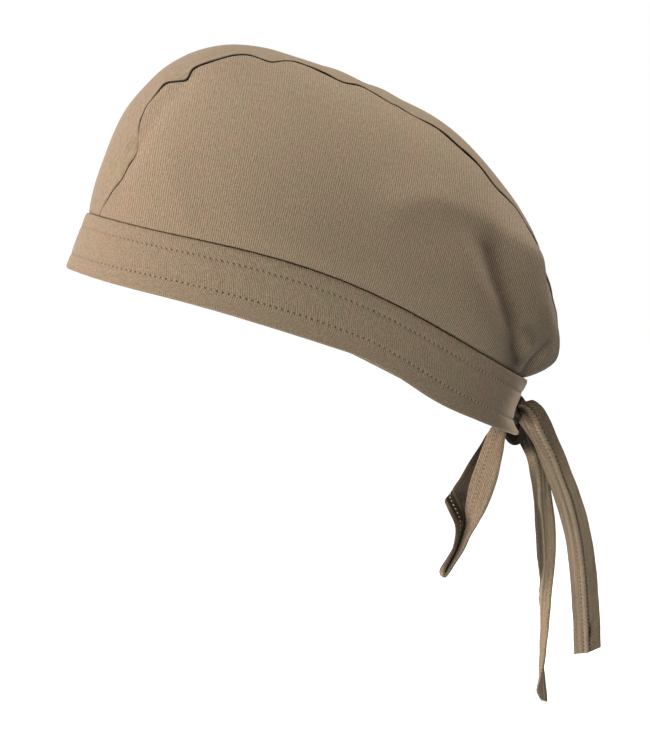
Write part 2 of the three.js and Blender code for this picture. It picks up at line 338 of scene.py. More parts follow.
seamRight = {
    "along": [-1, -0.9, -0.8, -0.7, -0.6, -0.5, -0.38, -0.25, -0.1, 0.1, 0.3, 0.55, 0.75, 1],
    "half": [0.28, 0.33, 0.345, 0.3, 0.235, 0.215, 0.222, 0.2, 0.225, 0.24, 0.25, 0.222, 0.205, 0.17],
}
seamOpen = {  # how wide the seam gapes
    "along": [-1, -0.97, -0.9, -0.8, -0.765, -0.72, -0.7, -0.66, -0.3, -0.1, 0, 0.25, 0.6, 1],
    "gape": [0.25, 0.45, 0.55, 0.5, 0, 0, 1.1, 1.4, 1.25, 1.05, 0.9, 1.5, 1.1, 0.6],
}
spineTrim = {  # how far the middle strip sinks below an even curve
    "along": [-1, -0.96, -0.83, -0.68, -0.58, -0.48, -0.39, -0.2, -0.12, -0.05, -0.01, 0.05,
              0.08, 0.12, 0.17, 0.22, 0.3, 0.36, 0.43, 0.5, 0.56, 0.65, 0.72, 0.8, 0.86, 0.92, 1],
    "sink": [0, 0, 0.4, -0.1, 0.5, 0, -0.3, 0, 0.9, 1.1, 0.6, 1.2,
             0.4, 0.7, 0, 0, 0.9, 1.2, 0.6, 0.3, 1.3, 1.4, 1.1, 0.2, -1.3, -0.6, 0],
}
# the seam allowance from the panel's edge on: how far aside, how deep
turnedEdge = [(-0.05, 0.16), (-0.06, 0.5), (0.0, 1.0), (0.15, 1.5), (0.6, 1.9), (3, 2), (8, 2)]
turnedShade = np.array([1, 1, 1, 0.9, 0.5, 0.2, 0.12])[:, None]  # painted shade, only in the groove
tuckedEdge = [(0.8, 0.7), (2.0, 0.4), (3.5, 0.2)]  # how far down behind the band, how dark its painted shade

valleyLine = [(0.53, 0.4), (0.568, 0.47), (0.576, 0.56), (0.568, 0.63), (0.535, 0.76),
              (0.455, 0.86)]
napeRidge = [(0.67, 0.09), (0.593, 0.163), (0.53, 0.26), (0.48, 0.335), (0.45, 0.4),
             (0.39, 0.46), (0.3, 0.53)]
softFolds = [  # line on the flattened crown, width to its left, width to its right, depth, painted shade
    (napeRidge, 0.065, 0.065, 2.6, 0),
    (valleyLine, 0.048, 0.12, -3.4, 0.42),
    ([(0.488, 0.685), (0.465, 0.713), (0.45, 0.74)], 0.03, 0.03, -0.8, 0.3),
    ([(0.33, 0.79), (0.363, 0.838), (0.335, 0.93)], 0.028, 0.028, -1.2, 0.35),
    ([(0.62, -0.45), (0.75, -0.25), (0.8, 0)], 0.14, 0.14, -0.5, 0),
    ([(0.5, -0.6), (0.62, -0.62), (0.72, -0.6)], 0.06, 0.06, 0.5, 0),
]


def smoothLine(points):
    table = {"step": range(len(points)), "x": [p[0] for p in points], "y": [p[1] for p in points]}
    step = np.linspace(0, len(points) - 1, 5 * len(points))
    return list(zip(tableValue(table, "step", "x", step), tableValue(table, "step", "y", step)))


def besideLine(across, along, points):  # distance from a line and -1 to 1 for its left or right side
    near = np.full(np.shape(across), 9.0)
    lean = np.zeros(np.shape(across))
    line = smoothLine(points)
    for (x0, y0), (x1, y1) in zip(line, line[1:]):
        x, y = x1 - x0, y1 - y0
        share = np.clip(((across - x0) * x + (along - y0) * y) / (x * x + y * y), 0, 1)
        distance = np.hypot(across - x0 - share * x, along - y0 - share * y)
        aside = (x * (along - y0) - y * (across - x0)) / math.hypot(x, y)
        lean = np.where(distance < near, aside / np.maximum(distance, 1e-6), lean)
        near = np.minimum(near, distance)
    return near, lean


def softFoldRelief(across, along):
    relief, shade = 0, 0
    for points, leftWidth, rightWidth, depth, dark in softFolds:
        near, lean = besideLine(across, along, points)
        width = leftWidth + (rightWidth - leftWidth) * smoothStep(lean, -1, 1)
        relief = relief + depth * bell(near, width, 1.7)
        if dark:  # painted shade sits on the steep side
            offset = (near * lean + 0.25 * leftWidth) ** 2 + near**2 * (1 - lean**2)
            shade = shade + dark * np.exp(-offset / (0.75 * leftWidth) ** 2)
    return relief, shade


def seamAt(along, aside, side):
    table = seamLeft if side > 0 else seamRight
    half = tableValue(table, "along", "half", along) + aside / cap["bandHalfLength"]
    return half, along * np.sqrt(1 - half * half)


def evenEnds(count, power):  # shares from 0 to 1, closer together at both ends
    s = np.linspace(0, 1, count)
    return s**power / (s**power + (1 - s) ** power)


def clothRelief(grid, fromSeam, fromBand, along, seed, stand):
    # how far each point moves out: puckers and rolls at the seams, slow drape between them
    gape = tableValue(seamOpen, "along", "gape", along)
    arc = stepsAlong(grid, 1)
    shared = crown["sharedWave"] * ripple(along[:1] * crown["waveBeat"], along[:1] * 0, 6.0)
    own = ripple(arc / crown["puckerLength"], fromSeam / crown["waveWidth"], seed)
    own = crown["ownWave"] * own
    pucker = crown["seamPucker"] * (own + shared) * np.exp(-fromSeam / crown["puckerReach"])
    roll = crown["seamDepth"] * bell(fromSeam, crown["seamRoll"], 1.3) * (1 - 0.5 * stand)
    roll = roll - stand * gape * crown["seamStand"] * bell(fromSeam, crown["standReach"], 1.5)
    tuck = crown["bandTuck"] * bell(fromBand, crown["bandRoll"], 1.5)
    drapeLength = crown["drapeLength"]
    slow = ripple(arc / drapeLength, fromSeam / drapeLength * 0.8, seed + 5)
    slow = slow * crown["drape"] * (1 - np.exp(-fromBand / crown["drapeReach"]))
    sink = tableValue(spineTrim, "along", "sink", along[:1])
    slow = slow - sink * (1 if stand else bell(fromSeam, crown["sinkReach"]))
    return pucker * (1 - bell(fromBand, 3)) - roll - tuck + slow


def bandLine(across, along, fromBand):  # painted shade of the line where crown meets band, faint in front
    turn = np.abs(np.arctan2(across, -along))
    faint, more = crown["bandLine"]
    return (faint + more * smoothStep(turn, 0.3, 1.3)) * bell(fromBand, crown["bandLineWidth"])


def turnUnder(edge, outward, towards):  # rows of the seam allowance, from the panel's edge on
    aside = unit(towards)
    aside = unit(aside - outward * (aside * outward).sum(-1, keepdims=True))
    return np.array([edge + aside * reach - outward * depth for reach, depth in turnedEdge])


def sidePanel(side):
    front = np.linspace(*crown["sideEnds"], crown["columns"])[None, :]
    down = evenEnds(crown["sideRows"], crown["sideSpread"])[:, None]
    seamAlong = 2 * front - 1
    seamAcross, seamBack = seamAt(seamAlong, cap["seamGap"] / 2, side)
    firstTurn = math.asin(seamAt(-1.0, cap["seamGap"] / 2, side)[0])
    lastTurn = math.pi - math.asin(seamAt(1.0, cap["seamGap"] / 2, side)[0])
    turn = firstTurn + (lastTurn - firstTurn) * front
    across = seamAcross + (np.sin(turn) - seamAcross) * down
    along = seamBack + (-np.cos(turn) - seamBack) * down
    grid = crownPoint(across, along)
    outward = normalAt(crownPoint, across, along, crown["normalStep"])
    fromSeam = stepsAlong(grid, 0)
    fromBand = fromSeam[-1:] - fromSeam
    relief = clothRelief(grid, fromSeam, fromBand, seamAlong + 0 * down, 3.0 + side, 0)
    shift, foldShare = (0, 1) if side > 0 else (crown["farShift"], crown["farFolds"])
    folds, shade = softFoldRelief(across + shift, along - shift)
    byEdges = [bell(distance, reach) for distance, reach in
               zip((fromSeam, fromBand), crown["foldReach"])]
    folds = folds * (1 - byEdges[0]) * (1 - byEdges[1])
    smoothOut = normalAt(easedCrown, across, along, crown["softFoldStep"])
    grid = grid + outward * relief[..., None] + smoothOut * (folds * foldShare)[..., None]
    turned = turnUnder(grid[0], outward[0], grid[0] - grid[4])
    tucked = np.array([grid[-1] - [0, 0, drop] for drop, dark in tuckedEdge])
    gape = tableValue(seamOpen, "along", "gape", seamAlong)
    # painted shade: open seams, the line along the band, the soft folds, the tucked rows, the nape
    paintedShade = np.minimum(gape * crown["sideShade"], 1) * bell(fromSeam, 0.15 + 0.2 * gape, 4)
    paintedShade = paintedShade + bandLine(across, along, fromBand) + shade
    rear = crown["rearShade"] * smoothStep(along, 0.45, 0.62)
    paintedShade = paintedShade + rear * smoothStep(-across, -0.62, -0.5)
    even = np.ones(grid.shape[1])
    tuckedShade = np.array([[dark] for drop, dark in tuckedEdge])
    paintedShade = np.vstack([turnedShade[::-1] * even, paintedShade, tuckedShade * even])
    grid = np.concatenate([turned[::-1], grid, tucked])
    grid[..., 0] *= side
    if side > 0:
        grid, paintedShade = grid[::-1], paintedShade[::-1]
    return leaned(grid), paintedShade


def centrePanel():
    front = np.linspace(0, 1, crown["columns"])[None, :]
    right = evenEnds(crown["stripRows"], crown["stripSpread"])[:, None]
    seamAlong = 2 * front - 1
    leftEdge = seamAt(seamAlong, -cap["seamGap"] / 2, 1)[0]
    rightEdge = seamAt(seamAlong, -cap["seamGap"] / 2, -1)[0]
    across = leftEdge + (-rightEdge - leftEdge) * right
    along = seamAlong * np.sqrt(1 - across * across)
    grid = crownPoint(across, along)
    outward = normalAt(crownPoint, across, along, crown["normalStep"])
    fromLeft = stepsAlong(grid, 0)
    fromSeam = np.minimum(fromLeft, fromLeft[-1:] - fromLeft)
    ends = stepsAlong(grid, 1)
    fromBand = np.minimum(ends, ends[:, -1:] - ends)
    relief = clothRelief(grid, fromSeam, fromBand, seamAlong + 0 * right, 9.0, 1)
    grid = grid + outward * relief[..., None]
    leftTurned = turnUnder(grid[0], outward[0], grid[4] - grid[0])
    rightTurned = turnUnder(grid[-1], outward[-1], grid[-5] - grid[-1])
    gape = tableValue(seamOpen, "along", "gape", seamAlong)
    # painted shade in the seam grooves and at the ends tucked behind the band
    fold = np.minimum(gape * crown["stripShade"], 1) * turnedShade
    fold[0] *= crown["innerShade"]
    paintedShade = np.vstack([fold[::-1], bandLine(across, along, fromBand), fold])
    grid = np.concatenate([leftTurned[::-1], grid, rightTurned])
    first, last = grid[:, :1], grid[:, -1:]
    near, deep = np.array([0, 0, 1]), np.array([0, 0, 3])  # both ends are tucked behind the band
    grid = np.concatenate([first - deep, first - near, grid, last - near, last - deep], axis=1)
    paintedShade = np.pad(paintedShade, ((0, 0), (2, 2)), constant_values=crown["endShade"])
    return leaned(grid), paintedShade


grid, paintedShade = centrePanel()
centre = makeCloth("centrePanel", grid, paintedShade)
sides = []
for side, name in ((1, "sidePanelLeft"), (-1, "sidePanelRight")):
    grid, paintedShade = sidePanel(side)
    sides.append(makeCloth(name, grid, paintedShade))
capUp = np.array([0, math.sin(cap["rimTilt"]), math.cos(cap["rimTilt"])])
capBack = np.array([0, math.cos(cap["rimTilt"]), -math.sin(cap["rimTilt"])])
flatten(sides[0], capBack, capUp, crown["ownPattern"])
flatten(sides[1], -capBack, capUp, crown["ownPattern"])
flatten(centre, np.array([1.0, 0, 0]), -capBack, 1)
print("crown panels made")


band = {
    "columns": 640,
    "faceRows": 46,
    "stitchRows": (6.2, 18.4),  # down from the top edge
    "pitch": 2.6,
    "pull": 0.32,
    "rowWidth": 0.75,
    "waviness": 0.22,
    "seamDip": 0.25,  # how far the top edge is drawn in by its seam
    "endCurl": 3.4,  # how far the very end turns outward
    "endReach": 0.22,  # how far round from the end its cut-back edge is felt
    "topWave": 0.13,  # unevenness of the top seam
    "wornEnd": 10.5,  # how far the painted light reaches from the end
    "underside": 0.3,  # painted shade on its inside and lower fold
}
bandRows = {  # how far in from the face and how high, from the inside round to the top seam
    "inside": [(2.2, 15), (2.2, 11), (2.2, 7), (2.2, 3), (2.2, 1.4)],
    "fold": [(2.05, 0.7), (1.7, 0.22), (1.1, 0), (0.5, 0.22), (0.15, 0.7)],
    "top": [(0.04, -0.5), (0.16, -0.16), (0.42, 0), (0.7, -0.2), (0.8, -0.8), (0.8, -3)],
}
bandEnd = {  # how far the free end is cut back, from its lower corner up
    "level": [0, 0.06, 0.12, 0.2, 0.35, 0.5, 0.68, 0.85, 1],
    "bite": [0.026, 0.012, 0.036, 0.07, 0.084, 0.082, 0.064, 0.042, 0.034],
}
bandSag = {  # how far the lower edge hangs below an even line, from the right round to the left
    "turn": [-3.2, -2.65, -2.35, -2.1, -1.8, -1.5, -1, 0, 0.4, 0.9, 1.1, 1.33, 1.5, 1.65, 1.8,
             1.9, 2, 2.15, 2.25, 2.36, 2.5, 2.8, 3.2],
    "drop": [0, -0.5, -1.3, -1.2, -0.9, 0, 0.5, 1.1, 1, 0.8, 1.1, 1.6, 1.4, 0.6, -0.6,
             -0.4, 0.3, 1.5, 1.7, 1.3, 0.6, 0, 0],
}


def bandSurface():  # turn round the head by column, inset and height by row and column
    last = math.pi - cap["backGapHalfAngle"]
    turn = np.linspace(-last, last, band["columns"])
    height = bandTopUp(turn) - rimUp(turn)
    below = bandRows["inside"] + bandRows["fold"]
    face = np.linspace(0, 1, band["faceRows"] + 2)[1:-1]
    rows = [(inset, up + 0 * turn) for inset, up in below]
    rows += [(0.0, 1.4 + (height - 0.9 - 1.4) * share) for share in face]
    rows += [(inset, height + drop) for inset, drop in bandRows["top"]]
    inset = np.array([row[0] + 0 * turn for row in rows])
    up = np.array([row[1] for row in rows])
    return turn, height[None, :], inset, up, len(below)


def bandPoint(turn, up, inset, height):
    above = 1 - np.clip(up / height, 0, 1)
    fromBack = math.pi - np.abs(turn)
    nearEnd = 1 - smoothStep(fromBack, cap["backGapHalfAngle"], cap["flareAngle"])
    curl = band["endCurl"] * np.exp(-(fromBack - cap["backGapHalfAngle"]) / 0.05)
    spread = cap["endFlare"] * nearEnd * above ** 2 + curl - inset
    across = (cap["bandHalfWidth"] + spread) * np.sin(turn)
    back = -(cap["bandHalfLength"] + spread) * np.cos(turn)
    drop = tableValue(bandSag, "turn", "drop", turn) * above ** 1.5
    return np.stack([across, back, rimUp(turn) + up - drop], -1)


def makeBand():
    turn, height, inset, up, firstFace = bandSurface()
    share = up / height
    bite = tableValue(bandEnd, "level", "bite", np.clip(share, 0, 1))
    reach = smoothStep(np.abs(turn), turn[-1] - band["endReach"], turn[-1])[None, :]
    turn = turn[None, :] - np.sign(turn)[None, :] * (bite * reach)
    arc = stepsAlong(bandPoint(turn, up * 0 + 12, inset * 0, height), 1)
    onFace = slice(firstFace, firstFace + band["faceRows"])
    fromRows = [up - (height - drop) for drop in band["stitchRows"]]
    beat = 1 + 0.35 * np.cos(2 * math.pi * arc / band["pitch"])
    dent = sum(band["pull"] * bell(fromRow, band["rowWidth"]) * beat for fromRow in fromRows)
    slope = ripple(arc / 7 + up / 9, up / 12, 2.0) * 0.6 + ripple(arc / 3.1, up / 6, 7.0) * 0.4
    dent[onFace] += (band["waviness"] * slope)[onFace] * np.sin(
        np.linspace(0.15, math.pi - 0.15, band["faceRows"]))[:, None]
    dent[onFace] += (band["seamDip"] * smoothStep(share, 0.94, 1))[onFace]
    dent[:onFace.start] = 0
    dent[onFace.stop:] = band["seamDip"]
    topWave = band["topWave"] * ripple(arc[:1] / 2.3, arc[:1] * 0, 4.0) * smoothStep(share, 0.9, 1)
    grid = bandPoint(turn, up + topWave, inset + dent, height)
    paintedShade = np.zeros_like(up)
    # painted shade on the band's inside and lower fold
    paintedShade[:firstFace - 2] = band["underside"]
    piece = makeCloth("stitchedBand", leaned(grid), paintedShade, np.stack([arc, up], -1))
    upper, lower = fromRows
    fromRow = np.where(np.abs(upper) < np.abs(lower), upper, lower)
    fromRow[:firstFace] = 5  # no stitches on the inside
    around = np.abs(turn)
    thread = (0.3 + 0.25 * smoothStep(around, 1.7, 2.6)) * smoothStep(around, 0.3, 0.9)
    fromEnd = np.minimum(arc, arc[:, -1:] - arc)
    # painted light, fading in from the band's end
    stitchFloats(piece, up.shape, fromRow=fromRow, alongRow=arc,
                 stitchShow=0.3 + 0.7 * smoothStep(around, 0.25, 0.85),
                 threadShow=thread, worn=bell(fromEnd, band["wornEnd"], 2.2))
    return piece


bandPiece = makeBand()
print("band made")


tape = {
    "thickness": 1.5,
    "seamWide": 1.15,  # half the width of the raised seam
    "seamHigh": 0.55,
    "rowDip": 0.3,
    "rowWidth": 0.4,
    "pitch": 1.9,
    "across": 30,
    "ripple": 0.22,
    "foldSoft": 0.7,  # how far the fold over the seam is rounded off, and how wide
    "foldWide": 1.4,
    "edgeRound": 0.8,
    "shade": 0.93,  # painted shade of the short straps and the heart of the knot
}
# a row for each place down a tape: its left edge, the seam down its middle, its right edge
tieShapes = {
    "tailOuter": [
        ((5, 100.1, -28.3), (9, 101.6, -25.5), (7, 103.8, -23.5)),
        ((5, 101.2, -31.4), (10.4, 104.8, -26.6), (7, 108.2, -23.2)),
        ((5, 103.4, -34.5), (10.4, 108.1, -30.4), (7, 112.1, -25.4)),
        ((5, 106.1, -38.4), (10.4, 111, -36.4), (7, 116, -31.8)),
        ((5, 108.5, -42.4), (10.4, 113.6, -42), (7, 119.4, -39.8)),
        ((5, 110.6, -47.5), (10.4, 116.3, -47.3), (7, 122.6, -47)),
        ((5, 113.9, -55.4), (10.4, 119.3, -55.3), (7, 125.6, -55)),
        ((5, 117.2, -63.5), (10.4, 122.2, -63.2), (7, 128.8, -63)),
        ((5, 120.2, -72.7), (10.4, 125.2, -72.3), (7, 131.8, -72.2)),
        ((5, 123.3, -85), (10.4, 128, -84.8), (7, 134.8, -84.6)),
        ((5, 125.1, -98.3), (10.4, 129.9, -98.1), (7, 136.9, -98)),
        ((5, 126.4, -113.9), (10.2, 131.1, -113.6), (7, 138, -113.2)),
        ((5, 127.1, -127.3), (10, 131.8, -126.5), (7, 138.8, -125)),
        ((5, 127.3, -136), (9.6, 132.2, -134.8), (7, 139, -132.6)),
    ],
    "tailInner": [
        ((0.5, 101.2, -37.6), (4, 106.2, -37), (4.6, 110.6, -37)),
        ((0.5, 104.2, -43.4), (5, 108.6, -43), (4.6, 113, -43.4)),
        ((0.5, 107.2, -51.2), (5.5, 110.4, -51.6), (4.6, 115, -51.4)),
        ((1, 108.6, -58.8), (5.5, 111.3, -59.2), (4.8, 116.2, -59.4)),
        ((3, 109.3, -67.6), (5.5, 111.7, -67.5), (5.6, 117.3, -67.5)),
        ((7, 109.2, -74.4), (6.1, 112, -74.1), (6.8, 118.1, -74.2)),
        ((8, 109.4, -81), (6.5, 112.5, -80.8), (7.6, 118.5, -80.9)),
        ((8, 110, -89.9), (6.6, 113.1, -89.6), (8, 118.5, -89.8)),
        ((6, 111.5, -101), (6, 113.3, -100.7), (8.4, 117.5, -100.9)),
        ((-0.6, 113.1, -112.2), (4, 113.4, -111.9), (8.8, 116.2, -112)),
        ((-3.6, 114.2, -125.5), (2, 113.8, -125.2), (8.4, 114.8, -125.3)),
        ((-4, 114.4, -136.6), (1.8, 113.5, -136.3), (8, 113.6, -136.4)),
        ((-3.4, 114.5, -142.4), (2.2, 113.2, -142.2), (7.6, 112.6, -142.3)),
        ((-1.6, 115.2, -148.9), (2.8, 113.3, -148.6), (7.2, 111.2, -148.3)),
        ((0.2, 115.5, -153), (3.2, 113.5, -152.4), (6.4, 110.6, -151.8)),
        ((1.4, 115.5, -157.6), (3.4, 114, -156.6), (5.4, 111.9, -155.2)),
    ],
    "loop": [
        ((-1, 96, -35), (1, 98.4, -34.6), (0, 101, -34)),
        ((-3, 93, -38.4), (0, 90.4, -37), (-3.6, 96.4, -38.8)),
        ((-3.5, 89, -45), (1, 86, -43.2), (-3.6, 92, -46)),
        ((-3, 85, -51), (1.6, 81.8, -49.4), (-3.6, 88, -52.5)),
        ((-2.6, 79, -60), (2.2, 76.6, -57.8), (-3.4, 84.2, -61.5)),
        ((-1, 73.2, -64.2), (2.6, 73.6, -62.8), (-3, 82.2, -66.4)),
        ((2, 69.8, -67.4), (3, 74.8, -67.4), (-2.8, 82.4, -70)),
        ((4, 71, -71.4), (3.2, 76.6, -71.4), (-2.6, 82, -74)),
        ((6, 72.9, -75.6), (3.2, 77.8, -75.8), (-2.4, 81.4, -78)),
        ((8, 74, -80.4), (3.4, 77, -80.8), (-2.2, 78.6, -81.6)),
        ((9, 73, -87.6), (3.8, 74.8, -87.8), (-1.8, 74.8, -88.4)),
        ((9.4, 70, -94), (3.8, 71.2, -94.2), (-2, 71, -94.8)),
        ((9.5, 68.1, -98.6), (3.6, 68.9, -98.8), (-2.3, 68.6, -99)),
        ((9.5, 68.3, -100.6), (3.6, 68.9, -100.4), (-2.3, 68.8, -100.4)),
        ((9.5, 69.9, -99.2), (3.6, 70.1, -98.9), (-2.3, 70, -99)),
        ((9.5, 72.6, -95.2), (3.6, 72.6, -94.9), (-2.2, 72.4, -94.8)),
        ((9.8, 76.8, -88.8), (3.8, 76, -88.2), (-1.9, 75.6, -88)),
        ((10.4, 80.4, -81.6), (4.6, 79.2, -80.8), (-0.4, 78.6, -80.6)),
        ((11, 83.1, -77), (5.4, 80.8, -76.4), (1, 79.2, -76.2)),
        ((11.4, 85.5, -73), (6.2, 81.4, -72.2), (2.4, 78.9, -72)),
        ((11.8, 87.9, -68), (6.8, 82.6, -67.2), (3.2, 79.3, -66.8)),
        ((12, 90.6, -61), (7, 84.5, -60.4), (3.6, 80.7, -60)),
        ((12, 92.4, -54.4), (7, 86.6, -53.8), (3.6, 82.8, -53.4)),
        ((11, 94.3, -45.8), (6.8, 89.4, -45.2), (3.8, 86, -44.6)),
        ((8.4, 96, -38), (5.8, 92.6, -36.6), (3.4, 90, -35.4)),
        ((4, 98.6, -34), (3.4, 96.8, -32.4), (2.4, 95, -31)),
    ],
}


def smoothPath(stations, count):  # an even, smooth run through the stations
    stations = np.array(stations, float)
    flat = stations.reshape(len(stations), -1)
    steps = np.linalg.norm(np.diff(stations[:, 1], axis=0), axis=1)
    knots = np.concatenate([[0], np.cumsum(steps ** 0.7)])
    slope = np.gradient(flat, knots, axis=0)
    fine = np.linspace(0, knots[-1], count * 6)
    i = np.clip(np.searchsorted(knots, fine), 1, len(knots) - 1)
    span = (knots[i] - knots[i - 1])[:, None]
    t = (fine[:, None] - knots[i - 1][:, None]) / span
    start, end = (1 + 2 * t) * (1 - t) ** 2, t * t * (3 - 2 * t)
    leave, arrive = t * (1 - t) ** 2, t * t * (t - 1)
    run = start * flat[i - 1] + end * flat[i]
    run = run + span * (leave * slope[i - 1] + arrive * slope[i])
    walked = stepsAlong(run[None, :, 3:6], 1)[0]
    even = np.linspace(0, walked[-1], count)
    out = np.stack([np.interp(even, walked, column) for column in run.T], -1)
    return out.reshape(count, 3, 3), even


def tapeGrid(stations, step, seed, seam, stitchRows, folds):
    length = np.linalg.norm(np.diff(np.array(stations)[:, 1], axis=0), axis=1).sum()
    run, walked = smoothPath(stations, int(length / step))
    left, ridge, right = run[:, 0], run[:, 1], run[:, 2]
    onward = unit(np.gradient(ridge, axis=0))
    leftWide = np.linalg.norm(ridge - left, axis=1)[:, None]
    rightWide = np.linalg.norm(right - ridge, axis=1)[:, None]
    share = np.linspace(0, 1, tape["across"] // 2) ** 0.8
    aside = np.concatenate([-leftWide * (1 - share[:-1]), rightWide * (1 - share[::-1])], axis=1)
    weight = aside[:, :, None]
    leftPart = ridge[:, None] + (left - ridge)[:, None] * (-weight / leftWide[:, :, None])
    rightPart = ridge[:, None] + (right - ridge)[:, None] * (weight / rightWide[:, :, None])
    surface = np.where(weight < 0, leftPart, rightPart)
    leftOut = unit(np.cross(onward, ridge - left))
    rightOut = unit(np.cross(onward, right - ridge))
    blend = smoothStep(aside, -1.6, 1.6)[:, :, None]
    outward = unit(leftOut[:, None] * (1 - blend) + rightOut[:, None] * blend)
    angle = np.arccos(np.clip((leftOut * rightOut).sum(-1), -1, 1))[:, None]
    rounded = tape["foldSoft"] * np.tan(angle / 4) * bell(aside, tape["foldWide"])
    surface = surface - outward * rounded[:, :, None]
    proud = tape["seamHigh"] * np.clip(1 - (aside / tape["seamWide"]) ** 4, 0, 1)
    beat = 1 + 0.3 * np.cos(2 * math.pi * walked / tape["pitch"])[:, None]
    if callable(stitchRows):
        rowAside = np.abs(aside - stitchRows(walked)[:, None])
    else:
        rowAside = np.min([np.abs(aside - row) for row in stitchRows], axis=0)
    dip = tape["rowDip"] * min(seam + 0.3, 1) * beat * bell(rowAside, tape["rowWidth"])
    uneven = ripple(walked[:, None] / 9 + aside / 7, aside / 5, seed) * tape["ripple"]
    uneven = uneven + 0.45 * bell(walked[:, None], 9) * np.cos(aside * 2.1 + 0.6)
    if folds:
        uneven = uneven + folds(aside, walked[:, None])
    edge = np.minimum(aside + leftWide, rightWide - aside)
    fullness = 1 - (1 - np.clip(edge / tape["edgeRound"], 0, 1)) ** 2
    thick = tape["thickness"] * np.sqrt(np.clip(fullness, 0.03, 1))
    top = surface + outward * (seam * proud - dip + uneven + thick / 2)[:, :, None]
    low = surface + outward * (uneven - thick / 2)[:, :, None]
    grid = np.concatenate([top, low[:, ::-1]], axis=1).transpose(1, 0, 2)
    rows = np.concatenate([rowAside, np.full(rowAside.shape, 5)], axis=1).T
    places = np.concatenate([aside, aside[:, ::-1]], axis=1).T
    return grid, places, np.broadcast_to(walked, places.shape), rows


def capEnds(piece, rows, columns):  # closes the two ends of a tape
    mesh = bmesh.new()
    mesh.from_mesh(piece.data)
    mesh.verts.ensure_lookup_table()
    for column in (0, columns - 1):
        half = rows // 2
        for row in range(half - 1):
            ring = [row, row + 1, rows - 2 - row, rows - 1 - row]
            corners = [mesh.verts[r * columns + column] for r in ring]
            if column == 0:
                corners.reverse()
            mesh.faces.new(corners)
    mesh.to_mesh(piece.data)
    mesh.free()


def makeTape(name, stations, step=0.7, seed=1.0, seam=1.0, stitchRows=(-1.3, 1.3), folds=None,
             shade=0.0, threads=0.1, worn=0.0, stitches=0.6):
    grid, places, along, rows = tapeGrid(stations, step, seed, seam, stitchRows, folds)
    shade, threads, worn = [rule(places, along) if callable(rule) else rule + 0 * places
                            for rule in (shade, threads, worn)]
    piece = makeCloth(name, grid, shade, np.stack([places, along], -1), closed=True)
    stitchFloats(piece, places.shape, fromRow=rows, alongRow=along, stitchShow=stitches,
                 threadShow=threads, worn=worn)
    capEnds(piece, *grid.shape[:2])
    return piece


outerTail = {
    "seed": 11.0,
    "stitches": 1.0,
    # lengthwise grooves where the turned cloth inside shows through: place, width, depth
    "grooves": [(-4.9, 0.8, 0.4), (-1.9, 0.45, 0.35), (-3.3, 0.7, -0.2)],
    "wander": 0.35,
    "pleats": (-5.6, -3.7, -2.1),  # where the knot gathers it
    "pleatShade": 0.5,
    "lines": (-4.9, -1.9),
    "lineShade": 0.22,
    "besideShade": 0.36,  # beside the seam
    "edgeShade": 0.3,
    "startShade": 0.4,
    "tackShade": 0.85,  # the bar tack near the end
    "tackFromEnd": 9.0,
    # painted light on its left facet, which faces the light
    "worn": 0.12,
}
innerTail = {
    "seed": 17.0,
    "stitchRows": (-3.2, 2.9),
    "stitches": 0.3,
    "startShade": 0.95,
    "rightShade": 0.3,
    "foldHighlight": 0.3,  # painted highlight along the fold down its middle
}
halfBow = {
    "seed": 23.0,
    "seam": 0.3,
    "tipShade": 0.64,
    "hollowShade": 0.96,
    "nearShade": 0.07,
}


def grooveWander(along):
    return outerTail["wander"] * np.sin(along / 11)


def outerFolds(aside, along):
    aside = aside + grooveWander(along)
    return -sum(deep * bell(aside - place, wide) for place, wide, deep in outerTail["grooves"])


def outerShade(aside, along):  # painted shade, deep where it leaves the knot
    moved = aside + grooveWander(along)
    shown = smoothStep(along, 20, 40)
    fall = 0.1 + 0.4 * (1 - smoothStep(along, 16, 46)) + 0.05 * smoothStep(along, 70, 84)
    right = fall * smoothStep(aside, 1.1, 2.0)
    pleats = outerTail["pleatShade"] * sum(bell(aside - at, 0.4) for at in outerTail["pleats"])
    pleats = pleats * (1 - smoothStep(along, 14, 36))
    lines = outerTail["lineShade"] * sum(bell(moved - at, 0.45) for at in outerTail["lines"])
    beside = outerTail["besideShade"] * bell(moved - 1.3, 0.45)
    edge = outerTail["edgeShade"] * smoothStep(-aside, 5.8, 6.6)
    fromTack = along - along.max() + outerTail["tackFromEnd"]
    tack = bell(fromTack, 4) * bell(aside - 1.6 + 0.12 * fromTack, 0.6)
    start = outerTail["startShade"] * bell(along, 2.2)
    return start + right + pleats + (lines + beside) * shown + edge + outerTail["tackShade"] * tack


# painted light on the left facet
def outerPaintedLight(aside, along):
    left = 1 - smoothStep(aside, 0.6, 1.6)
    return outerTail["worn"] * left * smoothStep(along, 18, 36)


# painted shade: under the knot, on the left facet and beside the fold
def innerShade(aside, along):
    start = innerTail["startShade"] * (1 - smoothStep(along, 6.5, 13))
    left = 1 - smoothStep(aside, -0.8, -0.3)
    left = left * (0.5 * smoothStep(along, 12, 25) - 0.16 * smoothStep(along, 55, 75))
    right = bell(aside - 1.1, 0.9) * smoothStep(along, 20, 32) * (1 - smoothStep(along, 50, 66))
    return start + left * (1 - start) + innerTail["rightShade"] * right


# painted highlight along the fold ridge
def innerPaintedHighlight(aside, along):
    return innerTail["foldHighlight"] * bell(aside, 0.45) * smoothStep(along, 16, 28)


